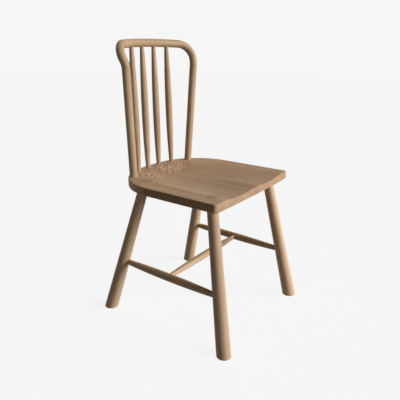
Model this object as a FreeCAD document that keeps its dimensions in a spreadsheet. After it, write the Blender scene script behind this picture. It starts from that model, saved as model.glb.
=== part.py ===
"""Spindle-back dining chair in oak, built as a joiner would make it.

Four tapered legs pass right through a saddled seat that is glued up from
four boards.  Two side stretchers and a cross stretcher tie the legs.  The
back is a bow of five rods, two posts, two elbows and a crest rail, joined
end to end with dowels, and four turned spindles stand under the crest.

Millimetres.  The origin is on the floor, midway between the feet.  +X is
the sitter's left, +Y points to the back and +Z up, so the front faces -Y.
"""
import FreeCAD, Part
import Sketcher
import enum
import math
import os

# Driving dimensions: alias, value, what it measures

SIZES = (
    ("seat_height", 448, "floor to the flat rim of the seat"),
    ("seat_thickness", 25, "seat boards"),
    ("seat_half_width", 207, "centre line to the side edge"),
    ("seat_front_edge", 195.2, "origin forward to the middle of the front edge"),
    ("seat_front_bow", 4.5, "how far the front edge bows out between its corners"),
    ("seat_front_corner", 12, "radius of the two front corners"),
    ("seat_rear_edge", 224.7, "origin back to the middle of the rear edge"),
    ("seat_rear_radius", 480, "radius of the rear edge"),
    ("seat_shoulder_radius", 168.5, "radius from the straight side to the rear edge"),
    ("seat_edge_round", 3, "rounded arris all round the seat"),
    ("right_board_width", 133, "right side edge in to the first glue line"),
    ("middle_joint_out", 40, "centre line out to the glue line between the two middle boards"),
    ("left_board_width", 85, "left side edge in to the third glue line"),
    ("scoop_offset", 62, "centre line to the deepest line of a thigh scoop"),
    ("saddle_half_width", 150, "centre line to the side rim of the saddle"),
    ("saddle_rise", 8, "climb of the saddle surface beyond its side rim"),
    ("front_station", -215, "section just ahead of the front edge"),
    ("front_centre_depth", 0.8, "below the rim at the centre line"),
    ("front_scoop_depth", 4.2, "below the rim in the scoops"),
    ("front_rim_depth", 1.8, "below the rim at the side of the saddle"),
    ("fore_station", -60, "section where the pommel fades"),
    ("fore_centre_depth", 4.5, "below the rim at the centre line"),
    ("fore_scoop_depth", 7, "below the rim in the scoops"),
    ("fore_rim_depth", 0.5, "below the rim at the side of the saddle"),
    ("bowl_station", 70, "section through the deepest part of the bowl"),
    ("bowl_centre_depth", 7.2, "below the rim at the centre line"),
    ("bowl_scoop_depth", 6.6, "below the rim either side of it"),
    ("bowl_rim_depth", -1.2, "the surface is above the rim here and cuts nothing"),
    ("back_station", 205, "section behind the bowl"),
    ("back_centre_depth", -2.5, "above the rim at the centre line"),
    ("back_scoop_depth", -4.5, "above the rim either side of it"),
    ("back_rim_depth", -11, "above the rim at the side of the saddle"),
    ("front_leg_side_inset", 52.2, "side edge in to a front leg at the seat top"),
    ("front_leg_front_inset", 54.8, "front edge back to a front leg at the seat top"),
    ("front_leg_splay", 56.2, "how far a front leg runs outwards on its way to the floor"),
    ("front_leg_rake", 85.6, "how far a front leg runs forwards on its way to the floor"),
    ("rear_leg_side_inset", 54.7, "side edge in to a rear leg at the seat top"),
    ("rear_leg_rear_inset", 120.2, "rear edge forward to a rear leg at the seat top"),
    ("rear_leg_splay", 63.7, "how far a rear leg runs outwards on its way to the floor"),
    ("rear_leg_rake", 121.5, "how far a rear leg runs backwards on its way to the floor"),
    ("leg_foot_diameter", 42.8, "leg at the floor"),
    ("leg_top_diameter", 31, "leg where it comes through the seat top"),
    ("foot_round", 2, "rounded arris round the foot"),
    ("side_stretcher_front_height", 171, "floor to the stretcher at the front leg"),
    ("side_stretcher_rear_height", 175, "floor to the stretcher at the rear leg"),
    ("side_stretcher_belly", 24.6, "side stretcher at its middle"),
    ("side_stretcher_end", 17, "side stretcher at its ends"),
    ("side_stretcher_past_axis", 4, "how far its end passes the leg's axis"),
    ("cross_stretcher_belly", 22.6, "cross stretcher at its middle"),
    ("cross_stretcher_end", 14, "cross stretcher at its ends"),
    ("cross_stretcher_past_axis", 2, "how far its end passes the side stretcher's axis"),
    ("spindle_foot_diameter", 14, "spindle where it enters the seat"),
    ("spindle_belly", 22.6, "spindle at its thickest"),
    ("spindle_belly_height", 174, "seat rim to the thickest point"),
    ("spindle_tip_diameter", 13.4, "spindle where it enters the crest rail"),
    ("spindle_foot_depth", 18, "length of spindle in the seat"),
    ("belly_straight", 6, "straight stretch at the thickest part of a turned rod"),
    ("spindle_past_axis", 2, "how far its tip passes the crest rail's axis"),
    ("inner_spindle_foot_out", 27, "centre line to an inner spindle at the seat"),
    ("inner_spindle_rear_inset", 15.7, "rear edge forward to an inner spindle at the seat"),
    ("inner_spindle_tip_out", 26.7, "centre line to an inner spindle at the crest"),
    ("outer_spindle_foot_out", 83, "centre line to an outer spindle at the seat"),
    ("outer_spindle_rear_inset", 25.7, "rear edge forward to an outer spindle at the seat"),
    ("outer_spindle_tip_out", 80.5, "centre line to an outer spindle at the crest"),
    ("bow_diameter", 24.5, "rod of the posts, elbows and crest rail"),
    ("post_side_inset", 68.6, "side edge in to a post at the seat"),
    ("post_rear_inset", 57.1, "rear edge forward to a post at the seat"),
    ("post_tenon_diameter", 16, "stub tenon under the post"),
    ("post_tenon_length", 20, "stub tenon under the post"),
    ("crest_rise", 395.5, "seat rim up to the middle of the crest rail's axis"),
    ("crest_rear_inset", 8.2, "rear edge forward to the middle of the crest rail's axis"),
    ("crest_half_span", 128, "centre line to the joint at a crest rail end"),
    ("crest_radius", 388, "curve of the crest rail round the sitter's back"),
    ("crest_tilt", 9, "degrees that the crest rail's ends droop forward"),
    ("elbow_out", 31, "crest rail end out to the joint at the top of a post"),
    ("elbow_ahead", 60.5, "middle of the crest rail forward to that joint"),
    ("elbow_drop", 71.5, "middle of the crest rail down to that joint"),
    ("elbow_lean", 12.5, "tangent length of the short arc that starts to lean back"),
    ("dowel_diameter", 9, "dowels inside the joints of the bow"),
    ("dowel_length", 36, "dowels inside the joints of the bow"),
    ("glue_gap", 0.1, "clearance all round a glued tenon or dowel"),
    ("end_gap", 0.8, "clearance past the end of a tenon or dowel"),
    ("tenon_show", 2, "straight stretch of a tenon left outside its hole"),
    ("trim_margin", 20, "how far cutting shapes reach past what they cut"),
)

doc = FreeCAD.newDocument("spindle_back_chair")
sheet = doc.addObject("Spreadsheet::Sheet", "sizes")
for row, (alias, number, meaning) in enumerate(SIZES, start=1):
    sheet.set("A%d" % row, meaning)
    sheet.set("B%d" % row, str(number))
    sheet.setAlias("B%d" % row, alias)
doc.recompute()


class Dim:
    """A dimension: its number, and the sheet expression that gives that number."""

    def __init__(self, number, text):
        self.number = float(number)
        self.text = text

    @staticmethod
    def of(other):
        if isinstance(other, Dim):
            return other
        return Dim(other, "(%r)" % float(other))

    def __str__(self):
        return self.text

    def __add__(self, other):
        other = Dim.of(other)
        return Dim(self.number + other.number, "(%s + %s)" % (self, other))

    def __sub__(self, other):
        other = Dim.of(other)
        return Dim(self.number - other.number, "(%s - %s)" % (self, other))

    def __rsub__(self, other):
        return Dim.of(other) - self

    def __mul__(self, other):
        other = Dim.of(other)
        return Dim(self.number * other.number, "(%s * %s)" % (self, other))

    def __truediv__(self, other):
        other = Dim.of(other)
        return Dim(self.number / other.number, "(%s / %s)" % (self, other))

    def __neg__(self):
        return Dim(-self.number, "(0 - %s)" % self)

    __radd__ = __add__
    __rmul__ = __mul__

    def root(self):
        return Dim(math.sqrt(self.number), "sqrt(%s)" % self)

    def sine(self):
        return Dim(math.sin(math.radians(self.number)), "sin(%s * 1 deg)" % self)

    def cosine(self):
        return Dim(math.cos(math.radians(self.number)), "cos(%s * 1 deg)" % self)

    def arcsine(self):
        """Degrees, as a plain number."""
        return Dim(math.degrees(math.asin(self.number)), "(asin(%s) / 1 deg)" % self)


class Point:
    """A point or a direction in space, with a dimension on each axis."""

    def __init__(self, x, y, z):
        self.x = Dim.of(x)
        self.y = Dim.of(y)
        self.z = Dim.of(z)

    def __str__(self):
        return "vector(%s; %s; %s)" % (self.x, self.y, self.z)

    def __add__(self, other):
        return Point(self.x + other.x, self.y + other.y, self.z + other.z)

    def __sub__(self, other):
        return Point(self.x - other.x, self.y - other.y, self.z - other.z)

    def __neg__(self):
        return Point(-self.x, -self.y, -self.z)

    def __mul__(self, factor):
        return Point(self.x * factor, self.y * factor, self.z * factor)

    def length(self):
        return (self.x * self.x + self.y * self.y + self.z * self.z).root()

    def vector(self):
        return FreeCAD.Vector(self.x.number, self.y.number, self.z.number)


size = {alias: Dim(sheet.get(alias), "sizes." + alias) for alias, number, meaning in SIZES}

seat_top = size["seat_height"]
seat_underside = seat_top - size["seat_thickness"]
seat_side = size["seat_half_width"]
seat_rear = size["seat_rear_edge"]
crest_back = seat_rear - size["crest_rear_inset"]
crest_height = seat_top + size["crest_rise"]
gap = size["glue_gap"]
end_gap = size["end_gap"]
show = size["tenon_show"]
margin = size["trim_margin"]
bow_radius = size["bow_diameter"] / 2
half_dowel = size["dowel_length"] / 2

LEFT = 1
RIGHT = -1
SIDES = (("left", LEFT), ("right", RIGHT))

finished = []


def finish(piece, label):
    """Give a finished piece the name of its file."""
    piece.Label = label
    finished.append(piece)
    return piece


def bind(piece, **properties):
    """Tie properties of a piece to the sheet."""
    for name, dimension in properties.items():
        piece.setExpression(name, str(dimension))
    return piece


def along(origin, direction, offset):
    """Placement on a line through origin, offset along it, with its +Z in the line's direction."""
    turned_to_line = "placement(%s; rotation(vector(0; 0; 1); %s))" % (origin, direction)
    slid_along_line = "placement(vector(0; 0; %s); rotation(vector(0; 0; 1); 0))" % offset
    return turned_to_line + " * " + slid_along_line


def rod(name, origin, direction, first, last, radius):
    """Round rod on a line, from first to last along it."""
    piece = doc.addObject("Part::Cylinder", name)
    return bind(piece, Radius=radius, Height=last - first, Placement=along(origin, direction, first))


def block(name, low, high):
    """Square block between two corners."""
    piece = doc.addObject("Part::Box", name)
    extent = high - low
    placed = "placement(%s; rotation(vector(0; 0; 1); 0))" % low
    return bind(piece, Length=extent.x, Width=extent.y, Height=extent.z, Placement=placed)


def cut(name, base, tools):
    """Base with every tool taken away."""
    gathered = doc.addObject("Part::Compound", name + "_tools")
    gathered.Links = tools
    piece = doc.addObject("Part::Cut", name)
    piece.Base = base
    piece.Tool = gathered
    return piece


def pair(kind, name, base, tool):
    """Union or shared part of two shapes."""
    piece = doc.addObject(kind, name)
    piece.Base = base
    piece.Tool = tool
    return piece


def origin_plane(body, role):
    """One of a body's own origin planes."""
    return [plane for plane in body.Origin.OriginFeatures if plane.Role == role][0]


def new_sketch(body, role, name):
    """Empty sketch on one of a body's own origin planes."""
    sketch = body.newObject("Sketcher::SketchObject", name)
    sketch.AttachmentSupport = [(origin_plane(body, role), "")]
    sketch.MapMode = "FlatFace"
    return sketch


def measure(sketch, kind, *place_and_size):
    """Dimension in a sketch that follows the sheet."""
    *place, dimension = place_and_size
    index = sketch.addConstraint(Sketcher.Constraint(kind, *place, dimension.number))
    sketch.setExpression("Constraints[%d]" % index, str(dimension))



class Place(enum.IntEnum):
    """Numbers that a sketch gives its origin, its upright axis and the points of a line or arc."""

    ORIGIN = -1
    VERTICAL_AXIS = -2
    START = 1
    END = 2
    CENTRE = 3


def arc_about(centre, start, end):
    """Counter-clockwise arc in a sketch about centre, from start to end."""
    first = math.atan2(start.y - centre.y, start.x - centre.x)
    last = math.atan2(end.y - centre.y, end.x - centre.x)
    if last <= first:
        last += 2 * math.pi
    circle = Part.Circle(centre, FreeCAD.Vector(0, 0, 1), centre.distanceToPoint(start))
    return Part.ArcOfCircle(circle, first, last)


def turned(name, origin, direction, first, foot, belly, tip):
    """Turned rod on a line, starting at first along it.

    foot, belly and tip are heights from the rod's own lower end and radii:
    straight up to foot, swelling to belly, straight there for its third
    value, thinning to where tip begins, and straight to tip's third value.
    """
    foot_height, foot_radius = foot
    belly_height, belly_radius, belly_length = belly
    tip_height, tip_radius, rod_length = tip
    body = doc.addObject("PartDesign::Body", name)
    profile = new_sketch(body, "XZ_Plane", name + "_profile")

    def at(radius, height):
        return FreeCAD.Vector(radius.number, height.number, 0)

    none = Dim(0, "0")
    low = at(none, none)
    foot_low = at(foot_radius, none)
    foot_high = at(foot_radius, foot_height)
    belly_start = belly_height - belly_length / 2
    belly_end = belly_height + belly_length / 2
    belly_low = at(belly_radius, belly_start)
    belly_high = at(belly_radius, belly_end)
    tip_low = at(tip_radius, tip_height)
    tip_high = at(tip_radius, rod_length)
    high = at(none, rod_length)

    def swell(widest, towards):
        """Centre of the arc that is upright at widest and passes through towards."""
        rise = widest.y - towards.y
        swelling = widest.x - towards.x
        radius = (rise ** 2 + swelling ** 2) / (2 * swelling)
        return widest - FreeCAD.Vector(radius, 0, 0)

    lines = [
        Part.LineSegment(low, foot_low),
        Part.LineSegment(foot_low, foot_high),
        arc_about(swell(belly_low, foot_high), foot_high, belly_low),
        Part.LineSegment(belly_low, belly_high),
        arc_about(swell(belly_high, tip_low), belly_high, tip_low),
        Part.LineSegment(tip_low, tip_high),
        Part.LineSegment(tip_high, high),
        Part.LineSegment(high, low),
    ]
    base, foot_side, lower, belly_side, upper, tip_side, top, axis = profile.addGeometry(lines, False)
    joints = ((base, foot_side), (foot_side, lower), (upper, tip_side), (tip_side, top), (top, axis))
    for earlier, later in joints:
        profile.addConstraint(Sketcher.Constraint("Coincident", earlier, Place.END, later, Place.START))
    profile.addConstraint(Sketcher.Constraint("Tangent", lower, Place.END, belly_side, Place.START))
    profile.addConstraint(Sketcher.Constraint("Tangent", belly_side, Place.END, upper, Place.START))
    profile.addConstraint(Sketcher.Constraint("Coincident", base, Place.START, Place.ORIGIN, Place.START))
    profile.addConstraint(Sketcher.Constraint("Coincident", axis, Place.END, Place.ORIGIN, Place.START))
    profile.addConstraint(Sketcher.Constraint("Horizontal", base))
    profile.addConstraint(Sketcher.Constraint("Vertical", foot_side))
    profile.addConstraint(Sketcher.Constraint("Vertical", belly_side))
    profile.addConstraint(Sketcher.Constraint("Vertical", tip_side))
    profile.addConstraint(Sketcher.Constraint("Horizontal", top))
    profile.addConstraint(Sketcher.Constraint("Vertical", axis))
    measure(profile, "DistanceX", Place.ORIGIN, Place.START, base, Place.END, foot_radius)
    measure(profile, "DistanceX", Place.ORIGIN, Place.START, belly_side, Place.START, belly_radius)
    measure(profile, "DistanceX", Place.ORIGIN, Place.START, tip_side, Place.START, tip_radius)
    measure(profile, "DistanceY", Place.ORIGIN, Place.START, lower, Place.START, foot_height)
    measure(profile, "DistanceY", Place.ORIGIN, Place.START, belly_side, Place.START, belly_start)
    measure(profile, "DistanceY", Place.ORIGIN, Place.START, belly_side, Place.END, belly_end)
    measure(profile, "DistanceY", Place.ORIGIN, Place.START, tip_side, Place.START, tip_height)
    measure(profile, "DistanceY", Place.ORIGIN, Place.START, tip_side, Place.END, rod_length)
    spun = body.newObject("PartDesign::Revolution", name + "_turning")
    spun.Profile = profile
    spun.ReferenceAxis = (profile, ["V_Axis"])
    spun.Angle = 360
    body.Tip = spun
    return bind(body, Placement=along(origin, direction, first))


# Where the pieces stand


def leg_line(end, side):
    """Foot of a leg's axis, and the point where it meets the seat top."""
    out = seat_side - size[end + "_leg_side_inset"]
    if end == "front":
        back = size["front_leg_front_inset"] - size["seat_front_edge"]
        rake = -size["front_leg_rake"]
    else:
        back = seat_rear - size["rear_leg_rear_inset"]
        rake = size["rear_leg_rake"]
    foot = Point((out + size[end + "_leg_splay"]) * side, back + rake, 0)
    return foot, Point(out * side, back, seat_top)


def on_leg(end, side, height):
    """Point of a leg's axis at a height above the floor."""
    foot, top = leg_line(end, side)
    return foot + (top - foot) * (height / seat_top)


def side_stretcher_line(side):
    """Points of the two leg axes that a side stretcher joins."""
    front = on_leg("front", side, size["side_stretcher_front_height"])
    rear = on_leg("rear", side, size["side_stretcher_rear_height"])
    return front, rear


def side_stretcher_middle(side):
    """Point of a side stretcher's axis that the cross stretcher aims at."""
    front, rear = side_stretcher_line(side)
    return (front + rear) * 0.5


def crest_turn(out):
    """Degrees that the crest rail turns between its middle and a distance out."""
    return (out / size["crest_radius"]).arcsine()


def on_crest(out, side):
    """Point of the crest rail's axis at a distance out from its middle."""
    hollow = size["crest_radius"] * (1 - crest_turn(out).cosine())
    back = crest_back - hollow * size["crest_tilt"].cosine()
    height = crest_height - hollow * size["crest_tilt"].sine()
    return Point(out * side, back, height)


def crest_end(side):
    """Joint at an end of the crest rail, and the outward direction of the rail there."""
    turn = crest_turn(size["crest_half_span"])
    tilt = size["crest_tilt"]
    outward = Point(turn.cosine() * side, -(turn.sine() * tilt.cosine()), -(turn.sine() * tilt.sine()))
    return on_crest(size["crest_half_span"], side), outward


def post_line(side):
    """Foot of a post on the seat, and the joint at its top."""
    out = seat_side - size["post_side_inset"]
    foot = Point(out * side, seat_rear - size["post_rear_inset"], seat_top)
    top_out = size["crest_half_span"] + size["elbow_out"]
    top = Point(top_out * side, crest_back - size["elbow_ahead"], crest_height - size["elbow_drop"])
    return foot, top


def spindle_line(place, side):
    """Foot of a spindle on the seat, and the point of the crest rail's axis that it aims at."""
    back = seat_rear - size[place + "_spindle_rear_inset"]
    foot = Point(size[place + "_spindle_foot_out"] * side, back, seat_top)
    return foot, on_crest(size[place + "_spindle_tip_out"], side)


# Seat


def seat_outline(body):
    """Sketch of the seat seen from above: eight tangent lines and arcs."""
    half_width = size["seat_half_width"]
    corner = size["seat_front_corner"]
    shoulder = size["seat_shoulder_radius"]
    rear = size["seat_rear_radius"]
    bow = size["seat_front_bow"]
    front = (half_width * half_width + bow * bow) / (bow * 2)
    front_centre_back = front - size["seat_front_edge"]
    rear_centre_ahead = rear - size["seat_rear_edge"]

    def mirrored(point):
        return FreeCAD.Vector(-point.x, point.y, 0)

    def tangent_point(large_centre, large, small_centre, small):
        """Where a small arc inside a large one touches it."""
        return large_centre + (small_centre - large_centre) * (large / (large - small))

    front_centre = FreeCAD.Vector(0, front_centre_back.number, 0)
    corner_out = (half_width - corner).number
    corner_drop = math.sqrt((front - corner).number ** 2 - corner_out ** 2)
    corner_centre = FreeCAD.Vector(corner_out, front_centre.y - corner_drop, 0)
    rear_centre = FreeCAD.Vector(0, -rear_centre_ahead.number, 0)
    shoulder_out = (half_width - shoulder).number
    shoulder_rise = math.sqrt((rear - shoulder).number ** 2 - shoulder_out ** 2)
    shoulder_centre = FreeCAD.Vector(shoulder_out, rear_centre.y + shoulder_rise, 0)
    front_touch = tangent_point(front_centre, front.number, corner_centre, corner.number)
    rear_touch = tangent_point(rear_centre, rear.number, shoulder_centre, shoulder.number)
    side_front = FreeCAD.Vector(half_width.number, corner_centre.y, 0)
    side_rear = FreeCAD.Vector(half_width.number, shoulder_centre.y, 0)

    outline = new_sketch(body, "XY_Plane", "seat_outline")
    chain = outline.addGeometry([
        Part.LineSegment(side_front, side_rear),
        arc_about(shoulder_centre, side_rear, rear_touch),
        arc_about(rear_centre, rear_touch, mirrored(rear_touch)),
        arc_about(mirrored(shoulder_centre), mirrored(rear_touch), mirrored(side_rear)),
        Part.LineSegment(mirrored(side_rear), mirrored(side_front)),
        arc_about(mirrored(corner_centre), mirrored(side_front), mirrored(front_touch)),
        arc_about(front_centre, mirrored(front_touch), front_touch),
        arc_about(corner_centre, front_touch, side_front),
    ], False)
    for earlier, later in zip(chain, chain[1:] + chain[:1]):
        outline.addConstraint(Sketcher.Constraint("Tangent", earlier, Place.END, later, Place.START))
    left, left_shoulder, rear_arc, right_shoulder = chain[:4]
    right, right_corner, front_arc, left_corner = chain[4:]
    outline.addConstraint(Sketcher.Constraint("Vertical", left))
    outline.addConstraint(Sketcher.Constraint("Vertical", right))
    outline.addConstraint(Sketcher.Constraint("Equal", left_shoulder, right_shoulder))
    outline.addConstraint(Sketcher.Constraint("Equal", left_corner, right_corner))
    outline.addConstraint(Sketcher.Constraint("PointOnObject", rear_arc, Place.CENTRE, Place.VERTICAL_AXIS))
    outline.addConstraint(Sketcher.Constraint("PointOnObject", front_arc, Place.CENTRE, Place.VERTICAL_AXIS))
    measure(outline, "DistanceX", Place.ORIGIN, Place.START, left, Place.START, half_width)
    measure(outline, "DistanceX", right, Place.START, Place.ORIGIN, Place.START, half_width)
    measure(outline, "DistanceY", Place.ORIGIN, Place.START, front_arc, Place.CENTRE, front_centre_back)
    measure(outline, "DistanceY", rear_arc, Place.CENTRE, Place.ORIGIN, Place.START, rear_centre_ahead)
    measure(outline, "Radius", left_shoulder, shoulder)
    measure(outline, "Radius", left_corner, corner)
    measure(outline, "Radius", rear_arc, rear)
    measure(outline, "Radius", front_arc, front)
    return outline


def seat_plank():
    """The glued-up plank, sawn to its outline and still flat."""
    body = doc.addObject("PartDesign::Body", "seat_plank")
    pad = body.newObject("PartDesign::Pad", "seat_plank_pad")
    pad.Profile = seat_outline(body)
    bind(pad, Length=size["seat_thickness"])
    body.Tip = pad
    placed = "placement(vector(0; 0; %s); rotation(vector(0; 0; 1); 0))" % seat_underside
    return bind(body, Placement=placed)


def saddle_section(station):
    """Closed section across the seat: the sat-on curve below, level well above the seat."""
    rim = size["saddle_half_width"].number
    scoop = size["scoop_offset"].number
    outer = (size["seat_half_width"] + margin).number
    depths = {place: size[station + "_" + place + "_depth"].number for place in ("centre", "scoop", "rim")}
    depth_at_outer = depths["rim"] - size["saddle_rise"].number
    half = [(scoop, depths["scoop"]), (rim, depths["rim"]), (outer, depth_at_outer)]
    across = [(-out, depth) for out, depth in reversed(half)] + [(0, depths["centre"])] + half
    back = size[station + "_station"].number
    points = [FreeCAD.Vector(out, back, seat_top.number - depth) for out, depth in across]
    curve = Part.BSplineCurve()
    curve.interpolate(points)
    lid = (seat_top + margin).number
    left_top = FreeCAD.Vector(outer, back, lid)
    right_top = FreeCAD.Vector(-outer, back, lid)
    edges = [
        curve.toShape(),
        Part.makeLine(points[-1], left_top),
        Part.makeLine(left_top, right_top),
        Part.makeLine(right_top, points[0]),
    ]
    return Part.Wire(edges)


def saddle_waste():
    """The wood that is carved away to saddle the seat, lofted through four sections."""
    piece = doc.addObject("Part::Feature", "saddle_waste")
    sections = [saddle_section(station) for station in ("front", "fore", "bowl", "back")]
    piece.Shape = Part.makeLoft(sections, True, False)
    return piece


def wall_edges(shape):
    """Numbers of the edges along the top and bottom of a plank's upright walls."""
    chosen = []
    for number, edge in enumerate(shape.Edges, start=1):
        heights = [vertex.Z for vertex in edge.Vertexes]
        upright = max(heights) - min(heights) > seat_top.number / 100
        walls = [face for face in shape.ancestorsOfType(edge, Part.Face) if is_upright(face)]
        if walls and not upright:
            chosen.append(number)
    return chosen


def is_upright(face):
    """Whether a face stands square to the floor."""
    first, last, low, high = face.ParameterRange
    return abs(face.normalAt((first + last) / 2, (low + high) / 2).z) < 1e-6


def round_edges(name, base, numbers, radius):
    """Base with the numbered edges rounded."""
    doc.recompute()
    piece = doc.addObject("Part::Fillet", name)
    piece.Base = base
    piece.Edges = [(number, radius.number, radius.number) for number in numbers]
    return piece


# Tapers and sockets


def leg_taper(name, end, side, allowance):
    """A leg's cone run past the floor and the seat top, wider all round by allowance."""
    foot, top = leg_line(end, side)
    direction = top - foot
    length = direction.length()
    foot_radius = size["leg_foot_diameter"] / 2
    top_radius = size["leg_top_diameter"] / 2
    thinning = (foot_radius - top_radius) / length * margin
    piece = doc.addObject("Part::Cone", name)
    return bind(
        piece,
        Radius1=foot_radius + thinning + allowance,
        Radius2=top_radius - thinning + allowance,
        Height=length + margin * 2,
        Placement=along(foot, direction, -margin),
    )


def stretcher_socket(name, line, past_axis, diameter, reach):
    """Hole for a stretcher's end: from just past its tip, out along it by reach."""
    start, end = line
    return rod(name, start, end - start, -(past_axis + end_gap), reach, diameter / 2 + gap)


def dowel_bore(name, joint, direction):
    """Half of a dowel's hole, running from the joint in the given direction."""
    radius = size["dowel_diameter"] / 2 + gap
    return rod(name, joint, direction, -margin, half_dowel + end_gap, radius)


# The seat: saddled, rounded, bored and made of four boards

saddle = saddle_waste()
plank = seat_plank()
saddled_seat = cut("saddled_seat", plank, [saddle])
doc.recompute()
arrises = wall_edges(saddled_seat.Shape)
rounded_seat = round_edges("rounded_seat", saddled_seat, arrises, size["seat_edge_round"])

seat_holes = []
for side_name, side in SIDES:
    for end in ("front", "rear"):
        seat_holes.append(leg_taper("leg_mortise_%s_%s" % (end, side_name), end, side, gap))
    foot, top = post_line(side)
    depth = size["post_tenon_length"] + end_gap
    radius = size["post_tenon_diameter"] / 2 + gap
    seat_holes.append(rod("post_socket_" + side_name, foot, top - foot, -depth, margin, radius))
    for place in ("inner", "outer"):
        foot, tip = spindle_line(place, side)
        depth = size["spindle_foot_depth"] + end_gap
        radius = size["spindle_foot_diameter"] / 2 + gap
        name = "spindle_socket_%s_%s" % (place, side_name)
        seat_holes.append(rod(name, foot, tip - foot, -depth, margin, radius))
bored_seat = cut("bored_seat", rounded_seat, seat_holes)

right_joint = size["right_board_width"] - seat_side
left_joint = seat_side - size["left_board_width"]
glue_lines = (-(seat_side + margin), right_joint, size["middle_joint_out"], left_joint, seat_side + margin)
board_names = ("right", "middle_right", "middle_left", "left")
for name, near, far in zip(board_names, glue_lines, glue_lines[1:]):
    low = Point(near, -(size["seat_front_edge"] + margin), seat_underside - margin)
    high = Point(far, size["seat_rear_edge"] + margin, seat_top + margin)
    strip = block("strip_" + name, low, high)
    finish(pair("Part::Common", "board_" + name, bored_seat, strip), "seat_board_" + name)

# The legs: tapered right through the seat, flush with it and level at the floor

reach = size["seat_half_width"] * 2
below_seat_top = block("below_seat_top", Point(-reach, -reach, 0), Point(reach, reach, seat_top))


def leg(end, side_name, side):
    """One leg, with the hole for its side stretcher."""
    name = "leg_%s_%s" % (end, side_name)
    blank = leg_taper(name + "_blank", end, side, 0)
    levelled = pair("Part::Common", name + "_levelled", blank, below_seat_top)
    flush = cut(name + "_flush", levelled, [saddle])
    doc.recompute()
    floor_edges = [
        number
        for number, edge in enumerate(flush.Shape.Edges, start=1)
        if edge.BoundBox.ZMax < size["foot_round"].number
    ]
    rounded = round_edges(name + "_rounded", flush, floor_edges, size["foot_round"])
    front, rear = side_stretcher_line(side)
    line = (front, rear) if end == "front" else (rear, front)
    socket = stretcher_socket(
        name + "_socket",
        line,
        size["side_stretcher_past_axis"],
        size["side_stretcher_end"],
        size["leg_foot_diameter"],
    )
    return finish(cut(name + "_bored", rounded, [socket]), name)


for side_name, side in SIDES:
    for end in ("front", "rear"):
        leg(end, side_name, side)

# The stretchers: swelling rods whose straight ends are the tenons


def stretcher(name, line, past_axis, end_diameter, belly_diameter, belly_length, hole_half_width):
    """Turned rod from one point to another, running past both."""
    start, end = line
    direction = end - start
    rod_length = direction.length() + past_axis * 2
    tenon = past_axis + hole_half_width + show
    foot = (tenon, end_diameter / 2)
    belly = (rod_length / 2, belly_diameter / 2, belly_length)
    tip = (rod_length - tenon, end_diameter / 2, rod_length)
    return turned(name, start, direction, -past_axis, foot, belly, tip)


cross_line = (side_stretcher_middle(LEFT), side_stretcher_middle(RIGHT))

for side_name, side in SIDES:
    name = "side_stretcher_" + side_name
    blank = stretcher(
        name + "_blank",
        side_stretcher_line(side),
        size["side_stretcher_past_axis"],
        size["side_stretcher_end"],
        size["side_stretcher_belly"],
        size["cross_stretcher_end"] + size["belly_straight"],
        size["leg_foot_diameter"] / 2,
    )
    socket = stretcher_socket(
        name + "_socket",
        cross_line if side == LEFT else cross_line[::-1],
        size["cross_stretcher_past_axis"],
        size["cross_stretcher_end"],
        size["side_stretcher_belly"],
    )
    finish(cut(name + "_bored", blank, [socket]), name)

cross = stretcher(
    "cross_stretcher_turning",
    cross_line,
    size["cross_stretcher_past_axis"],
    size["cross_stretcher_end"],
    size["cross_stretcher_belly"],
    size["belly_straight"],
    size["side_stretcher_belly"] / 2,
)
finish(cross, "cross_stretcher")

# The back spindles: straight feet in the seat, a belly below half height and slim tips


def spindle(place, side_name, side):
    """One spindle, from its hole in the seat to its hole in the crest rail."""
    foot, tip = spindle_line(place, side)
    direction = tip - foot
    sunk = size["spindle_foot_depth"]
    rod_length = sunk + direction.length() + size["spindle_past_axis"]
    tip_straight = size["spindle_past_axis"] + bow_radius + show
    piece = turned(
        "%s_spindle_%s" % (place, side_name),
        foot,
        direction,
        -sunk,
        (sunk + show, size["spindle_foot_diameter"] / 2),
        (sunk + size["spindle_belly_height"], size["spindle_belly"] / 2, size["belly_straight"]),
        (rod_length - tip_straight, size["spindle_tip_diameter"] / 2, rod_length),
    )
    return finish(piece, "spindle_%s_%s" % (place, side_name))


for side_name, side in SIDES:
    for place in ("inner", "outer"):
        spindle(place, side_name, side)

# The bow: two posts, two elbows and the crest rail, doweled end to end


def post(side_name, side):
    """Rod cut level to stand on the seat, with a stub tenon below and a dowel bore above."""
    name = "post_" + side_name
    foot, top = post_line(side)
    direction = top - foot
    blank = rod(name + "_blank", foot, direction, -margin, direction.length(), bow_radius)
    standing = cut(name + "_standing", blank, [below_seat_top])
    tenon_radius = size["post_tenon_diameter"] / 2
    tenon = rod(name + "_tenon", foot, direction, -size["post_tenon_length"], bow_radius, tenon_radius)
    tenoned = pair("Part::Fuse", name + "_tenoned", standing, tenon)
    bore = dowel_bore(name + "_dowel_bore", top, -direction)
    return finish(cut(name + "_bored", tenoned, [bore]), name)


def tangent_arc(start, corner, end):
    """Arc that leaves start towards corner and reaches end, as far from corner, along the other leg."""
    middle = (start + end) * 0.5
    setback = corner.distanceToPoint(start)
    half_chord = middle.distanceToPoint(start)
    to_middle = corner.distanceToPoint(middle)
    radius = setback * half_chord / to_middle
    to_centre = setback * setback / to_middle
    crown = corner + (middle - corner) * ((to_centre - radius) / to_middle)
    return Part.Arc(start, crown, end).toShape()


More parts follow.
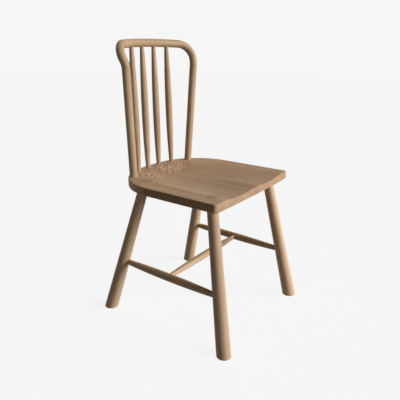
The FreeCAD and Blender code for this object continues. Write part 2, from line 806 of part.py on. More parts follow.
def elbow_centre_line(side):
    """Two tangent arcs: a short one that leans the post back, then the turn into the crest rail.

    The first arc's tangent length is given.  The second arc must start where
    the first ends and meet the crest rail's end in line with it, which fixes
    its own tangent length.
    """
    foot, post_top = post_line(side)
    joint, outward = crest_end(side)
    start = post_top.vector()
    rising = (post_top - foot).vector().normalize()
    finish_point = joint.vector()
    leaving = outward.vector()
    first = size["elbow_lean"].number
    first_corner = start + rising * first
    span = first_corner - finish_point
    second = (span.dot(span) - first ** 2) / (2 * (first + span.dot(leaving)))
    second_corner = finish_point + leaving * second
    between = first_corner + (second_corner - first_corner) * (first / (first + second))
    return [
        tangent_arc(start, first_corner, between),
        tangent_arc(between, second_corner, finish_point),
    ]


def elbow(side_name, side):
    """Bent rod between a post and the crest rail, with a dowel bore in each end."""
    name = "elbow_" + side_name
    centre_line = doc.addObject("Part::Feature", name + "_centre_line")
    centre_line.Shape = Part.Wire(elbow_centre_line(side))
    foot, post_top = post_line(side)
    rising = post_top - foot
    section = doc.addObject("Part::Circle", name + "_section")
    bind(section, Radius=bow_radius, Placement=along(post_top, rising, 0))
    bend = doc.addObject("Part::Sweep", name + "_bend")
    bend.Sections = [section]
    bend.Spine = (centre_line, ["Edge1", "Edge2"])
    bend.Solid = True
    joint, outward = crest_end(side)
    post_bore = dowel_bore(name + "_post_bore", post_top, rising)
    crest_bore = dowel_bore(name + "_crest_bore", joint, outward)
    return finish(cut(name + "_bored", bend, [post_bore, crest_bore]), name)


def crest_rail():
    """Rod bent to one arc, tilted so that its ends droop forward, bored for spindles and dowels."""
    radius = size["crest_radius"]
    tilt = size["crest_tilt"]
    turn = crest_turn(size["crest_half_span"])
    centre = on_crest(Dim(0, "0"), LEFT) - Point(0, tilt.cosine(), tilt.sine()) * radius
    tilted = "placement(%s; rotation(vector(1; 0; 0); %s))" % (centre, tilt)
    centred = "placement(vector(0; 0; 0); rotation(vector(0; 0; 1); %s))" % (90 - turn)
    bent = doc.addObject("Part::Torus", "crest_rail_bent")
    bind(bent, Radius1=radius, Radius2=bow_radius, Angle3=turn * 2, Placement=tilted + " * " + centred)
    holes = []
    for side_name, side in SIDES:
        joint, outward = crest_end(side)
        holes.append(dowel_bore("crest_dowel_bore_" + side_name, joint, -outward))
        for place in ("inner", "outer"):
            foot, tip = spindle_line(place, side)
            depth = size["spindle_past_axis"] + end_gap
            hole_radius = size["spindle_tip_diameter"] / 2 + gap
            name = "crest_spindle_hole_%s_%s" % (place, side_name)
            holes.append(rod(name, tip, foot - tip, -depth, size["bow_diameter"], hole_radius))
    return finish(cut("crest_rail_bored", bent, holes), "crest_rail")


def dowel(label, joint, direction):
    """Dowel centred on a joint of the bow."""
    piece = rod(label + "_rod", joint, direction, -half_dowel, half_dowel, size["dowel_diameter"] / 2)
    return finish(piece, label)


for side_name, side in SIDES:
    post(side_name, side)
    elbow(side_name, side)
    foot, post_top = post_line(side)
    dowel("dowel_post_" + side_name, post_top, post_top - foot)
    joint, outward = crest_end(side)
    dowel("dowel_crest_" + side_name, joint, outward)
crest_rail()

# Checks, then one file for each piece

doc.recompute()
for thing in doc.Objects:
    if {"Invalid", "Error"} & set(thing.State):
        raise RuntimeError("%s did not build: %s" % (thing.Name, thing.State))
for piece in finished:
    if piece.Shape.isNull() or not piece.Shape.isValid():
        raise RuntimeError("%s has no valid shape" % piece.Label)
    if len(piece.Shape.Solids) != 1:
        raise RuntimeError("%s is %d solids, not one" % (piece.Label, len(piece.Shape.Solids)))

os.makedirs("parts", exist_ok=True)
for piece in finished:
    piece.Shape.exportStep(os.path.join("parts", piece.Label + ".step"))

whole = Part.makeCompound([piece.Shape for piece in finished]).optimalBoundingBox(False, False)
print("%d pieces, %.1f x %.1f x %.1f mm" % (len(finished), whole.XLength, whole.YLength, whole.ZLength))
print("x %.2f to %.2f, y %.2f to %.2f, z %.2f to %.2f" % (
    whole.XMin, whole.XMax, whole.YMin, whole.YMax, whole.ZMin, whole.ZMax))
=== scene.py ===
"""Oak finish, bent bow and studio for the spindle-back dining chair.

Laid out as a Blender add-on and run as a script.  Metres.  The chair stands
on the floor at the origin, with its front towards -Y and +X at the sitter's
left.  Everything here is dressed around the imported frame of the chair.
"""
import math

import bmesh
import bpy
from bpy.props import FloatProperty, FloatVectorProperty, PointerProperty
from bpy.types import Operator, Panel, PropertyGroup
from mathutils import Matrix, Vector


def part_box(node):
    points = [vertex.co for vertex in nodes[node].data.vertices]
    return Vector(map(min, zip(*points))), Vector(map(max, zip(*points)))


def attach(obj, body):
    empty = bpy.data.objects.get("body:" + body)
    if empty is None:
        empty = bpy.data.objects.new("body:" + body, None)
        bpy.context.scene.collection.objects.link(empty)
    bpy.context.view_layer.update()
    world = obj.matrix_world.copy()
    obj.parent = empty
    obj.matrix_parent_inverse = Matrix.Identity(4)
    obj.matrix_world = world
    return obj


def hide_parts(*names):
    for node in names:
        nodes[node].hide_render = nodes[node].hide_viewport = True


bl_info = {
    "name": "Spindle-back chair",
    "version": (1, 0, 0),
    "blender": (4, 5, 0),
    "location": "3D View > Sidebar > Chair",
    "description": "Dresses the chair's frame in oak and sets up a plain studio",
    "category": "Object",
}

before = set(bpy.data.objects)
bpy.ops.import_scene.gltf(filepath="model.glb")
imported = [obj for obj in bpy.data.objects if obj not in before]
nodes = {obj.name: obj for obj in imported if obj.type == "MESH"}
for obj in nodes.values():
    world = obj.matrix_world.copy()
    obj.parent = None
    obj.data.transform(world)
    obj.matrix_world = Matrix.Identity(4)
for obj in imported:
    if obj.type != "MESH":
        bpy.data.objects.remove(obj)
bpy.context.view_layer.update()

UP = Vector((0.0, 0.0, 1.0))
BACKWARDS = Vector((0.0, 1.0, 0.0))
SIDES = (("left", 1.0), ("right", -1.0))


# Shader building


class Wire:
    """An output of a shader node that Python's arithmetic can be used on."""

    def __init__(self, shader, socket):
        self.shader = shader
        self.socket = socket

    def maths(self, operation, *values):
        return self.shader.add("ShaderNodeMath", {"operation": operation}, dict(enumerate(values)))

    def __add__(self, other):
        return self.maths("ADD", self, other)

    def __sub__(self, other):
        return self.maths("SUBTRACT", self, other)

    def __rsub__(self, other):
        return self.maths("SUBTRACT", other, self)

    def __mul__(self, other):
        return self.maths("MULTIPLY", self, other)

    def __truediv__(self, other):
        return self.maths("DIVIDE", self, other)

    def __pow__(self, power):
        return self.maths("POWER", self, power)

    def __abs__(self):
        return self.maths("ABSOLUTE", self)

    __radd__ = __add__
    __rmul__ = __mul__

    def root(self):
        return self.maths("SQRT", self)

    def fraction(self):
        return self.maths("FRACT", self)

    def within(self, low, high):
        """0 below low, 1 above high, and a smooth step between them."""
        settings = {"interpolation_type": "SMOOTHSTEP"}
        inputs = {"Value": self, "From Min": low, "From Max": high}
        return self.shader.add("ShaderNodeMapRange", settings, inputs)

    def axes(self):
        """The three components of a vector."""
        split = self.shader.node("ShaderNodeSeparateXYZ", {}, {"Vector": self})
        return [Wire(self.shader, socket) for socket in split.outputs]

    def stretched(self, scale):
        """A vector with each component multiplied by its own scale."""
        settings = {"operation": "MULTIPLY"}
        return self.shader.add("ShaderNodeVectorMath", settings, {0: self, 1: scale})


class Shader:
    """The nodes of a material or of the world, under construction."""

    def __init__(self, owner):
        owner.use_nodes = True
        self.tree = owner.node_tree
        self.tree.nodes.clear()

    def node(self, kind, settings, inputs):
        """New node: its settings are made first, then its sockets are given values or links."""
        made = self.tree.nodes.new(kind)
        for name, value in settings.items():
            setattr(made, name, value)
        for name, value in inputs.items():
            if isinstance(value, Wire):
                self.tree.links.new(value.socket, made.inputs[name])
            else:
                made.inputs[name].default_value = value
        return made

    def add(self, kind, settings, inputs, output=0):
        """New node, given back as one of its outputs."""
        return Wire(self, self.node(kind, settings, inputs).outputs[output])

    def noise(self, place, scale, detail=2.0, roughness=0.5):
        """Noise stretched by the three numbers of scale, each in cells for a metre."""
        inputs = {"Vector": place.stretched(scale), "Scale": 1.0, "Detail": detail, "Roughness": roughness}
        return self.add("ShaderNodeTexNoise", {}, inputs)

    def mixed(self, factor, first, second, blend="MIX"):
        """Colour that goes from first to second as factor goes from 0 to 1."""
        inputs = {0: factor, 6: opaque(first), 7: opaque(second)}
        return self.add("ShaderNodeMix", {"data_type": "RGBA", "blend_type": blend}, inputs, output=2)


def opaque(colour):
    """A plain colour with its alpha, or a wire as it is."""
    return colour if isinstance(colour, Wire) else (*colour, 1.0)


def grey(level):
    """A plain colour with the same red, green and blue."""
    return (level, level, level)


# Settings that a user may change


def colour_setting(name, description, default):
    return FloatVectorProperty(
        name=name, description=description, subtype="COLOR", size=3, min=0.0, max=1.0, default=default
    )


def length_setting(name, description, default):
    return FloatProperty(name=name, description=description, default=default, min=0.0, unit="LENGTH")


def angle_setting(name, description, degrees):
    return FloatProperty(name=name, description=description, default=math.radians(degrees), unit="ROTATION")


def place_setting(name, description, default):
    return FloatVectorProperty(name=name, description=description, default=default, unit="LENGTH")


class ChairOak(PropertyGroup):
    """Colours and figure of the oak."""

    early: colour_setting("Early wood", "The dark, open-grained part of a ring", (0.430, 0.270, 0.142))
    late: colour_setting("Late wood", "The pale, dense part of a ring", (0.660, 0.468, 0.296))
    pore: colour_setting("Pores", "Open pores and the heart of a knot", (0.170, 0.088, 0.038))
    fleck: colour_setting("Flecks", "The rays, where the saw meets them side on", (0.740, 0.540, 0.370))
    end_grain: colour_setting("End grain", "Sawn ends, their pores cut across", (0.320, 0.222, 0.150))
    ring_width: length_setting("Ring width", "Mean width of a growth ring", 0.0032)
    relief: length_setting("Relief", "Depth of the open pores", 0.00012)


class ChairBow(PropertyGroup):
    """Sizes of the bent rods, for the left side; the right side mirrors them."""

    rod_diameter: length_setting("Rod", "Diameter of the bow", 0.0245)
    post_foot: place_setting("Post foot", "Axis of the post where it meets the seat", (0.1384, 0.1676, 0.448))
    post_top: place_setting("Post top", "Joint between post and elbow", (0.159, 0.156, 0.772))
    crest_middle: place_setting("Crest", "Middle of the crest rail's axis", (0.0, 0.2165, 0.8435))
    crest_half_span: length_setting("Crest half span", "Centre line to the joint at its end", 0.128)
    crest_radius: length_setting("Crest radius", "Curve of the crest rail round the sitter's back", 0.388)
    crest_tilt: angle_setting("Crest tilt", "Droop of the rail's ends", 9.0)
    elbow_lean: length_setting("Elbow lean", "Tangent length of the short arc above the post", 0.0125)
    joint_easing: length_setting("Joint easing", "Bevel round each sawn end", 0.00035)


class ChairStudio(PropertyGroup):
    """Camera and light."""

    camera_place: place_setting("Camera", "Where the camera stands", (-1.1005, -0.79186, 0.83935))
    camera_azimuth: angle_setting("Azimuth", "Turn of the camera about the upright", -53.865)
    camera_elevation: angle_setting("Elevation", "How far the camera looks down", 19.272)
    focal_length: FloatProperty(name="Focal length", description="On a 36 mm sensor", default=40.107, min=1.0)
    key_strength: FloatProperty(
        name="Key light", description="Strength of the large soft light", default=3.5, min=0.0
    )
    key_spread: angle_setting("Key spread", "Width of the key light as the chair sees it", 32.0)
    fill: colour_setting("Fill", "Even light from all round", (0.034, 0.028, 0.022))
    bounce: colour_setting("Bounce", "What the floor gives back to the chair", (0.400, 0.335, 0.265))
    backdrop: colour_setting("Backdrop", "The pale background", grey(0.9216))


# Oak

# Outputs of the nodes that give a place or a direction, in the node's own order.
OBJECT_PLACE = 3
NORMAL = 1
ATTRIBUTE_VECTOR = 1
DOT_VALUE = 1

# Metres that a ring strays from a true circle, slowly across the log and faster up it.
RING_WANDER = 0.020
RING_SWAY = 0.008
SEAT_SHEEN = 0.25
ROD_SHEEN = 0.55
OIL_ROUGHNESS = 0.56
PLAIN = (1.0, 1.0, 1.0)


def straight_grain(along, through):
    """Grain of a straight piece that runs in one direction, measured from an axis through a point."""

    def place(shader):
        turn = along.rotation_difference(UP)
        coordinates = shader.add("ShaderNodeTexCoord", {}, {}, output=OBJECT_PLACE)
        inputs = {"Vector": coordinates, "Location": -(turn @ through), "Rotation": turn.to_euler()}
        return shader.add("ShaderNodeMapping", {"vector_type": "POINT"}, inputs)

    return place


def bent_grain(shader):
    """Grain of a bent rod, which carries its coordinates from before it was bent."""
    return shader.add("ShaderNodeAttribute", {"attribute_name": "grain"}, {}, output=ATTRIBUTE_VECTOR)


class Figure:
    """The oak's figure at a place in the log, as wires that run from 0 to 1."""

    def __init__(self, shader, place, pith, lean, shift):
        tones = bpy.context.scene.chair_oak
        moved = shader.add("ShaderNodeVectorMath", {"operation": "ADD"}, {0: place, 1: (0.0, 0.0, shift)})
        self.across, self.up, self.length = place.axes()
        wander = shader.noise(moved, (10.0, 10.0, 1.7), detail=2.0) - 0.5
        sway = shader.noise(moved, (14.0, 14.0, 4.0), detail=1.0) - 0.5
        from_pith_x = self.across - pith[0] - self.length * lean[0] + wander * RING_WANDER
        from_pith_y = self.up - pith[1] - self.length * lean[1] + sway * RING_SWAY
        distance = (from_pith_x * from_pith_x + from_pith_y * from_pith_y).root()
        ring = (distance / tones.ring_width).fraction()
        self.early = (1.0 - ring) ** 1.8
        self.fibre = shader.noise(moved, (620.0, 620.0, 14.0), detail=3.0, roughness=0.6)
        self.pores = shader.noise(moved, (1500.0, 1500.0, 75.0), detail=1.0).within(0.56, 0.70) * self.early
        self.cloud = shader.noise(moved, (42.0, 42.0, 3.6), detail=2.0)
        self.drift = shader.noise(moved, (11.0, 11.0, 1.3), detail=1.0)
        self.rays = shader.noise(moved, (300.0, 300.0, 75.0), detail=1.0).within(0.58, 0.74)


def oak(name, grain, pith, lean=(0.0, 0.0), shift=0.0, tone_and_painted_light=PLAIN, end=None, marks=(), sheen=ROD_SHEEN):
    """Oiled oak cut from a log whose pith runs beside the piece.

    grain gives the coordinates along it.  pith is the centre of the log,
    measured across from the grain's axis, and lean is how far it drifts
    for each metre along.  shift picks a place along the log.  The tint
    multiplies the colour: it gives each seat board its own tone, and on
    the legs, spindles and bow it is painted light and shade.  end is the
    direction where end grain shows and how much it shows, marks are
    functions that add a knot, streak or joint, and sheen is how much the
    oil shines.
    """
    tones = bpy.context.scene.chair_oak
    material = bpy.data.materials.new(name)
    shader = Shader(material)
    place = grain(shader)
    figure = Figure(shader, place, pith, lean, shift)

    dark = figure.early * 0.30 + (figure.fibre - 0.5) * 0.9 + (figure.cloud - 0.5) * 1.4
    dark = dark + (figure.drift - 0.5) * 0.9 + 0.36
    wood = shader.mixed(dark.within(-0.15, 1.15), tones.late, tones.early)
    wood = shader.mixed(figure.rays * 0.22, wood, tones.fleck)
    wood = shader.mixed(figure.pores * 0.5, wood, tones.pore)
    for mark in marks:
        wood = mark(shader, wood, figure, tones)
    roughness = OIL_ROUGHNESS + figure.pores * 0.2 + (figure.fibre - 0.5) * 0.12
    if end:
        direction, showing = end
        normal = shader.add("ShaderNodeTexCoord", {}, {}, output=NORMAL)
        settings = {"operation": "DOT_PRODUCT"}
        facing = shader.add("ShaderNodeVectorMath", settings, {0: normal, 1: direction}, output=DOT_VALUE)
        end_grain = abs(facing).within(0.75, 0.95)
        speckle = figure.fibre * 3.0 - 0.5
        wood = shader.mixed(end_grain * speckle * showing, wood, tones.end_grain)
        roughness = roughness + end_grain * 0.15
    # The tint multiplies the colour: each seat board gets its own tone, and the legs, spindles and bow get
    # painted light and shade.
    wood = shader.mixed(1.0, wood, tone_and_painted_light, blend="MULTIPLY")

    height = (figure.fibre - 0.5) * 0.5 - figure.pores - figure.early * 0.25
    bump = shader.add("ShaderNodeBump", {}, {"Strength": 0.6, "Distance": tones.relief, "Height": height})
    inputs = {"Base Color": wood, "Roughness": roughness, "Normal": bump, "Specular IOR Level": sheen}
    finish = shader.add("ShaderNodeBsdfPrincipled", {}, inputs)
    shader.node("ShaderNodeOutputMaterial", {}, {"Surface": finish})
    return material


def spot(figure, across, length, half_width, half_length):
    """1 at the middle of an oval, 0 outside it."""
    x = (figure.across - across) / half_width
    y = (figure.length - length) / half_length
    return 1.0 - (x * x + y * y).root().within(0.0, 1.0)


def knot(across, length, size):
    """A small sound knot with the grain darkened round it."""

    def mark(shader, wood, figure, tones):
        halo = spot(figure, across, length, size * 2.2, size * 5.0)
        heart = spot(figure, across, length, size, size * 1.5)
        wood = shader.mixed(halo * 0.35, wood, tones.early)
        return shader.mixed(heart * 0.55, wood, tones.pore)

    return mark


def streak(across, length, half_width, half_length, darkness):
    """A long darker stretch of heartwood."""

    def mark(shader, wood, figure, tones):
        mask = spot(figure, across, length, half_width, half_length) * (figure.fibre + 0.5)
        return shader.mixed(mask * darkness, wood, tones.early)

    return mark


# Flecks for each metre across and along, and how far they slant from straight across.
FLECKS_ACROSS = 30.0
FLECKS_ALONG = 170.0
FLECK_SLANT = 0.6


def ray_flecks(across, length, half_width, half_length):
    """Pale flecks that cross the grain aslant, where the rays lie nearly in the surface."""

    def mark(shader, wood, figure, tones):
        along = (figure.length - figure.across * FLECK_SLANT) * FLECKS_ALONG
        inputs = {"X": figure.across * FLECKS_ACROSS, "Y": figure.up * FLECKS_ACROSS, "Z": along}
        stretched = shader.add("ShaderNodeCombineXYZ", {}, inputs)
        cells = shader.add("ShaderNodeTexNoise", {}, {"Vector": stretched, "Scale": 1.0, "Detail": 1.0})
        mask = spot(figure, across, length, half_width, half_length)
        wood = shader.mixed(mask * cells.within(0.50, 0.60) * 0.95, wood, tones.fleck)
        return shader.mixed(mask * (1.0 - cells.within(0.36, 0.48)) * 0.7, wood, tones.pore)

    return mark


def tenon_rim(across, length, radius, darkness):
    """The dark glue line round the end of a leg's tenon."""

    def mark(shader, wood, figure, tones):
        x = figure.across - across
        y = figure.length - length
        off_rim = abs((x * x + y * y).root() - radius)
        return shader.mixed((1.0 - off_rim.within(0.0003, 0.0022)) * darkness, wood, tones.pore)

    return mark


def glue_line(across):
    """The thin dark line where two boards meet."""

    def mark(shader, wood, figure, tones):
        line = 1.0 - abs(figure.across - across).within(0.0, 0.0006)
        return shader.mixed(line * 0.5, wood, tones.pore)

    return mark


END_SHARE = 12


def dress(node, material):
    """Give a node of the frame its finish."""
    for slot in nodes[node].material_slots:
        slot.material = material


def axis_of(node):
    """Middle and direction of a long straight node, from a share of its vertices at each end."""
    points = [vertex.co for vertex in nodes[node].data.vertices]
    low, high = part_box(node)
    span = high - low
    main = max(range(3), key=lambda axis: span[axis])
    ordered = sorted(points, key=lambda point: point[main])
    share = len(ordered) // END_SHARE
    first = sum(ordered[:share], Vector()) / share
    last = sum(ordered[-share:], Vector()) / share
    return (first + last) / 2, (last - first).normalized()


def dress_rod(node, pith, shift, tone_and_painted_light=PLAIN, end_showing=0.4):
    """Finish a straight rod of the frame with grain along its axis."""
    middle, direction = axis_of(node)
    grain = straight_grain(direction, middle)
    dress(node, oak(node + "_oak", grain, pith, shift=shift, tone_and_painted_light=tone_and_painted_light, end=(direction, end_showing)))


# Seat

# Each board has its node, the pith of its log, the pith's lean, its place along the log, a tint
# and its marks.  Places across are measured along X, and places along the grain along Y.
REAR_FLECKS = ray_flecks(0.020, 0.150, 0.120, 0.095)
BOARDS = (
    (
        "seat_board_right",
        (-0.110, -0.042),
        (0.03, 0.07),
        0.0,
        (1.08, 1.05, 1.06),
        (ray_flecks(-0.090, 0.130, 0.050, 0.080), streak(-0.160, -0.05, 0.012, 0.12, 0.5)),
    ),
    (
        "seat_board_middle_right",
        (-0.013, -0.055),
        (-0.02, 0.09),
        0.7,
        (1.06, 1.01, 1.00),
        (REAR_FLECKS, streak(-0.004, -0.14, 0.026, 0.13, 1.4), streak(0.020, 0.0, 0.006, 0.07, 0.6)),
    ),
    (
        "seat_board_middle_left",
        (0.061, 0.060),
        (0.02, 0.03),
        1.9,
        (1.09, 1.03, 1.01),
        (
            REAR_FLECKS,
            knot(0.048, 0.098, 0.014),
            streak(0.089, -0.07, 0.006, 0.05, 0.9),
            streak(0.103, -0.03, 0.005, 0.04, 0.8),
        ),
    ),
    (
        "seat_board_left",
        (0.182, -0.050),
        (0.0, 0.05),
        3.1,
        (1.10, 1.02, 0.98),
        (streak(0.150, 0.05, 0.010, 0.09, 0.6),),
    ),
)
SEAT_END_SHOWING = 0.42
LEGS = ("leg_front_left", "leg_front_right", "leg_rear_left", "leg_rear_right")
TENON_RADIUS = 0.0156
FRONT_RIM_DARK = 0.5
REAR_RIM_DARK = 0.15


def tenon_rims(low, high):
    """Rims of the leg tenons that come through the board between two corners of its box."""
    rims = []
    for leg in LEGS:
        through, direction = axis_of(leg)
        top = through + direction * ((high.z - through.z) / direction.z)
        if low.x < top.x < high.x:
            darkness = FRONT_RIM_DARK if "front" in leg else REAR_RIM_DARK
            rims.append(tenon_rim(top.x, top.y, TENON_RADIUS, darkness))
    return tuple(rims)


class CHAIR_OT_seat(Operator):
    """Finish the four boards of the seat"""

    bl_idname = "chair.seat"
    bl_label = "Seat boards"

    def execute(self, context):
        for node, pith, lean, shift, tone_and_painted_light, marks in BOARDS:
            low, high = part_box(node)
            grain = straight_grain(BACKWARDS, Vector((0.0, 0.0, (low.z + high.z) / 2)))
            joints = (glue_line(low.x), glue_line(high.x))
            marks = marks + joints + tenon_rims(low, high)
            end = (BACKWARDS, SEAT_END_SHOWING)
            dress(node, oak(node + "_oak", grain, pith, lean, shift, tone_and_painted_light, end, marks, SEAT_SHEEN))
        return {"FINISHED"}


# Legs, stretchers and spindles

FRONT_TENON_SHOWING = 0.42
REAR_TENON_SHOWING = 0.12
# Painted light and shade on the legs: the two far legs, on the left, are painted much brighter to stand in
# for light the lamps do not give them, and the two near legs a little darker.
LEG_PAINTED_LIGHT = ((1.22, 1.24, 1.30), (0.96, 0.96, 1.00), (1.16, 1.16, 1.20), (0.94, 0.94, 0.97))
# Painted shade: the spindles are painted darker and a little cooler, standing in for the light that grows
# dimmer up the back.
SPINDLE_PAINTED_SHADE = (0.88, 0.90, 0.92)


class CHAIR_OT_legs(Operator):
    """Finish the four legs"""

    bl_idname = "chair.legs"
    bl_label = "Legs"

    def execute(self, context):
        for count, node in enumerate(LEGS):
            end_showing = FRONT_TENON_SHOWING if "front" in node else REAR_TENON_SHOWING
            pith = (0.045 + 0.008 * count, 0.02 - 0.015 * count)
            dress_rod(node, pith, 5.0 + count, LEG_PAINTED_LIGHT[count], end_showing)
        return {"FINISHED"}


class CHAIR_OT_stretchers(Operator):
    """Finish the three stretchers"""

    bl_idname = "chair.stretchers"
    bl_label = "Stretchers"

    def execute(self, context):
        for count, node in enumerate(("side_stretcher_left", "side_stretcher_right", "cross_stretcher")):
            dress_rod(node, (0.03, 0.035 - 0.02 * count), 10.0 + count)
        return {"FINISHED"}


class CHAIR_OT_spindles(Operator):
    """Finish the four spindles of the back"""

    bl_idname = "chair.spindles"
    bl_label = "Spindles"

    def execute(self, context):
        names = ("spindle_outer_right", "spindle_inner_right", "spindle_inner_left", "spindle_outer_left")
        for count, node in enumerate(names):
            dress_rod(node, (0.028 - 0.012 * count, 0.03), 15.0 + count, SPINDLE_PAINTED_SHADE)
        return {"FINISHED"}


# Bow

# Painted shade: the posts, and still more the elbows and the crest rail, are painted darker, standing in for
# the light that grows dimmer towards the top of the back.
POST_PAINTED_SHADE = (0.88, 0.89, 0.90)
ELBOW_PAINTED_SHADE = (0.82, 0.79, 0.75)
CREST_PAINTED_SHADE = (0.84, 0.83, 0.79)
ROD_SIDES = 56
RING_SPACING = 0.003
SHARP = math.radians(20.0)


class Arc:
    """A circular arc from start to end that is tangent to the two legs of a corner."""

    def __init__(self, start, corner, end):
        middle = (start + end) / 2
        to_middle = (middle - corner).length
        to_centre = (corner - start).length_squared / to_middle
        self.centre = corner + (middle - corner) * (to_centre / to_middle)
        self.radius = (start - self.centre).length
        self.axis = (start - self.centre).cross(end - self.centre).normalized()
        self.angle = (start - self.centre).angle(end - self.centre)


def crest_end(bow, side):
    """Joint at an end of the crest rail, and the rail's outward direction there."""
    turn = math.asin(bow.crest_half_span / bow.crest_radius)
    forward = Vector((0.0, -math.cos(bow.crest_tilt), -math.sin(bow.crest_tilt)))
    hollow = bow.crest_radius * (1.0 - math.cos(turn))
    out = Vector((side, 0.0, 0.0))
    joint = Vector(bow.crest_middle) + out * bow.crest_half_span + forward * hollow
    return joint, out * math.cos(turn) + forward * math.sin(turn)


def elbow_arcs(bow, side):
    """A short arc that leans the post back, then the turn into the crest rail."""
    mirror = Vector((side, 1.0, 1.0))
    foot = Vector(bow.post_foot) * mirror
    top = Vector(bow.post_top) * mirror
    joint, outward = crest_end(bow, side)
    first = bow.elbow_lean
    first_corner = top + (top - foot).normalized() * first
    span = first_corner - joint
    second = (span.dot(span) - first**2) / (2 * (first + span.dot(outward)))
    second_corner = joint + outward * second
    between = first_corner + (second_corner - first_corner) * (first / (first + second))
    return Arc(top, first_corner, between), Arc(between, second_corner, joint)


def crest_arc(bow):
    """The crest rail's arc, from its right end to its left."""
    (right, right_outward), (left, left_outward) = crest_end(bow, -1.0), crest_end(bow, 1.0)
    reach = left.x / left_outward.x
    return right, -right_outward, Arc(right, right - right_outward * reach, left)


def bent_rod(name, start, direction, arcs, bow):
    """Rod swept round arcs from a circle at start, with its straight-rod coordinates kept as its grain."""
    mesh = bmesh.new()
    grain = mesh.verts.layers.float_vector.new("grain")
    circle = bmesh.ops.create_circle(mesh, radius=bow.rod_diameter / 2, segments=ROD_SIDES)
    for vert in circle["verts"]:
        vert[grain] = vert.co
    turn = UP.rotation_difference(direction).to_matrix().to_4x4()
    bmesh.ops.transform(mesh, matrix=Matrix.Translation(start) @ turn, verts=mesh.verts)
    ring = mesh.edges[:]
    ends = [ring]
    length = 0.0
    for arc in arcs:
        steps = math.ceil(arc.radius * arc.angle / RING_SPACING)
        for _ in range(steps):
            step = arc.angle / steps
            made = bmesh.ops.spin(mesh, geom=ring, cent=arc.centre, axis=arc.axis, angle=step, steps=1)
            ring = [part for part in made["geom_last"] if isinstance(part, bmesh.types.BMEdge)]
            length += arc.radius * step
            for vert in {vert for edge in ring for vert in edge.verts}:
                vert[grain].z = length
    ends.append(ring)
    for rim in ends:
        bmesh.ops.contextual_create(mesh, geom=rim)
    rims = [edge for rim in ends for edge in rim]
    bmesh.ops.bevel(
        mesh, geom=rims, offset=bow.joint_easing, segments=2, profile=0.5, affect="EDGES", material=-1
    )
    bmesh.ops.recalc_face_normals(mesh, faces=mesh.faces)
    return new_piece(name, mesh)


def new_piece(name, mesh):
    """Object of a finished mesh, smooth apart from its sharp edges."""
    for face in mesh.faces:
        face.smooth = True
    for edge in mesh.edges:
        edge.smooth = edge.calc_face_angle() < SHARP
    data = bpy.data.meshes.new(name)
    mesh.to_mesh(data)
    mesh.free()
    piece = bpy.data.objects.new(name, data)
    bpy.context.scene.collection.objects.link(piece)
    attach(piece, "root")
    return piece


class CHAIR_OT_bow(Operator):
    """Finish the posts, and bend the elbows and the crest rail with their grain running round"""

    bl_idname = "chair.bow"
    bl_label = "Bow"

    def execute(self, context):
        bow = context.scene.chair_bow
        for count, (side_name, side) in enumerate(SIDES):
            dress_rod("post_" + side_name, (0.04, 0.02 * count - 0.03), 20.0 + count, POST_PAINTED_SHADE)
            for joint in ("post", "crest"):
                dress_rod("dowel_%s_%s" % (joint, side_name), (0.02, 0.02), 26.0)
            arcs = elbow_arcs(bow, side)
            mirror = Vector((side, 1.0, 1.0))
            rising = (Vector(bow.post_top) - Vector(bow.post_foot)) * mirror
            elbow = bent_rod("bent_elbow_" + side_name, Vector(bow.post_top) * mirror, rising, arcs, bow)
            pith = (0.035, 0.012 - 0.03 * count)
            self.finish(elbow, "elbow_" + side_name, pith, 22.0 + count, ELBOW_PAINTED_SHADE)
        start, direction, arc = crest_arc(bow)
        crest = bent_rod("bent_crest_rail", start, direction, (arc,), bow)
        self.finish(crest, "crest_rail", (0.03, -0.02), 24.0, CREST_PAINTED_SHADE)
        return {"FINISHED"}

    def finish(self, piece, node, pith, shift, tone_and_painted_light):
        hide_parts(node)
        piece.data.materials.append(oak(node + "_oak", bent_grain, pith, shift=shift, tone_and_painted_light=tone_and_painted_light))


# Studio


class CHAIR_OT_studio(Operator):
    """Set up the floor, the light and the camera"""

    bl_idname = "chair.studio"
    bl_label = "Studio"

    def execute(self, context):
        settings = context.scene.chair_studio
        add_floor(settings)
        add_sky(context.scene, settings)
        add_key_light(settings)
        add_camera(context.scene, settings)
        context.scene.view_settings.view_transform = "Standard"
        return {"FINISHED"}


def seen_directly(shader):
    """1 for what the camera, a gloss or a glass sees, 0 for light on its way to a surface."""
    path = shader.node("ShaderNodeLightPath", {}, {})
    camera, glossy, clear = (
        Wire(shader, path.outputs[name])
        for name in ("Is Camera Ray", "Is Glossy Ray", "Is Transmission Ray")
    )
    return camera.maths("MAXIMUM", camera, glossy.maths("MAXIMUM", glossy, clear))


# Where the floor is seen, most of it glows evenly, and the share FLOOR_SHADOW takes the shadow.
FLOOR_HALF = 12.0
FLOOR_WHITE = 0.8
FLOOR_SHADOW = 0.10
FLOOR_GLOW = 0.984
KEY_DIRECTION = Vector((0.34, -0.88, 0.325))
KEY_DISTANCE = 3.0
SENSOR_WIDTH = 36.0


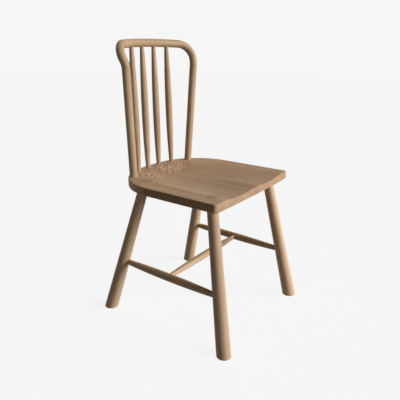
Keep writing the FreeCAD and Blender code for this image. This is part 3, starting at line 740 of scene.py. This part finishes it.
def add_floor(settings):
    """Pale floor that shows the chair's shadow faintly."""
    material = bpy.data.materials.new("studio_floor")
    shader = Shader(material)
    direct = seen_directly(shader)
    paint = shader.mixed(direct, settings.bounce, grey(FLOOR_WHITE))
    matt = shader.add("ShaderNodeBsdfDiffuse", {}, {"Color": paint})
    glow = shader.add("ShaderNodeEmission", {}, {"Color": opaque(grey(FLOOR_GLOW)), "Strength": 1.0})
    shown = shader.add("ShaderNodeMixShader", {}, {0: direct * (1.0 - FLOOR_SHADOW), 1: matt, 2: glow})
    shader.node("ShaderNodeOutputMaterial", {}, {"Surface": shown})
    mesh = bmesh.new()
    bmesh.ops.create_grid(mesh, x_segments=1, y_segments=1, size=FLOOR_HALF)
    data = bpy.data.meshes.new("studio_floor")
    mesh.to_mesh(data)
    mesh.free()
    data.materials.append(material)
    floor = bpy.data.objects.new("studio_floor", data)
    bpy.context.scene.collection.objects.link(floor)


def add_sky(scene, settings):
    """Pale background with a low even light."""
    scene.world = bpy.data.worlds.new("studio_sky")
    shader = Shader(scene.world)
    colour = shader.mixed(seen_directly(shader), settings.fill, settings.backdrop)
    light = shader.add("ShaderNodeBackground", {}, {"Color": colour, "Strength": 1.0})
    shader.node("ShaderNodeOutputWorld", {}, {"Surface": light})


def add_key_light(settings):
    """One large soft light in front of the chair, to its left as it sits."""
    lamp = bpy.data.lights.new("key_light", "SUN")
    lamp.energy = settings.key_strength
    lamp.angle = settings.key_spread
    light = bpy.data.objects.new("key_light", lamp)
    bpy.context.scene.collection.objects.link(light)
    light.location = KEY_DIRECTION * KEY_DISTANCE
    light.rotation_euler = KEY_DIRECTION.to_track_quat("Z", "Y").to_euler()


def add_camera(scene, settings):
    """Camera where the photograph was taken from."""
    lens = bpy.data.cameras.new("camera")
    lens.sensor_width = SENSOR_WIDTH
    lens.lens = settings.focal_length
    camera = bpy.data.objects.new("camera", lens)
    scene.collection.objects.link(camera)
    camera.location = settings.camera_place
    camera.rotation_euler = (math.pi / 2 - settings.camera_elevation, 0.0, settings.camera_azimuth)
    scene.camera = camera


PIECE_OPERATORS = (CHAIR_OT_seat, CHAIR_OT_legs, CHAIR_OT_stretchers, CHAIR_OT_spindles, CHAIR_OT_bow)


class CHAIR_PT_panel(Panel):
    """Chair tools in the sidebar"""

    bl_idname = "CHAIR_PT_panel"
    bl_label = "Spindle-back chair"
    bl_space_type = "VIEW_3D"
    bl_region_type = "UI"
    bl_category = "Chair"

    def draw(self, context):
        column = self.layout.column()
        for settings in (context.scene.chair_oak, context.scene.chair_bow):
            for setting in settings.__annotations__:
                column.prop(settings, setting)
        for operator in PIECE_OPERATORS:
            column.operator(operator.bl_idname)
        for setting in ChairStudio.__annotations__:
            column.prop(context.scene.chair_studio, setting)
        column.operator(CHAIR_OT_studio.bl_idname)


SETTINGS = (("chair_oak", ChairOak), ("chair_bow", ChairBow), ("chair_studio", ChairStudio))
CLASSES = (*(group for name, group in SETTINGS), *PIECE_OPERATORS, CHAIR_OT_studio, CHAIR_PT_panel)


def register():
    for cls in CLASSES:
        bpy.utils.register_class(cls)
    for name, group in SETTINGS:
        setattr(bpy.types.Scene, name, PointerProperty(type=group))


def unregister():
    for name, group in SETTINGS:
        delattr(bpy.types.Scene, name)
    for cls in reversed(CLASSES):
        bpy.utils.unregister_class(cls)


def main():
    register()
    bpy.ops.chair.seat()
    bpy.ops.chair.legs()
    bpy.ops.chair.stretchers()
    bpy.ops.chair.spindles()
    bpy.ops.chair.bow()
    bpy.ops.chair.studio()
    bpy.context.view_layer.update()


if __name__ == "__main__":
    main()
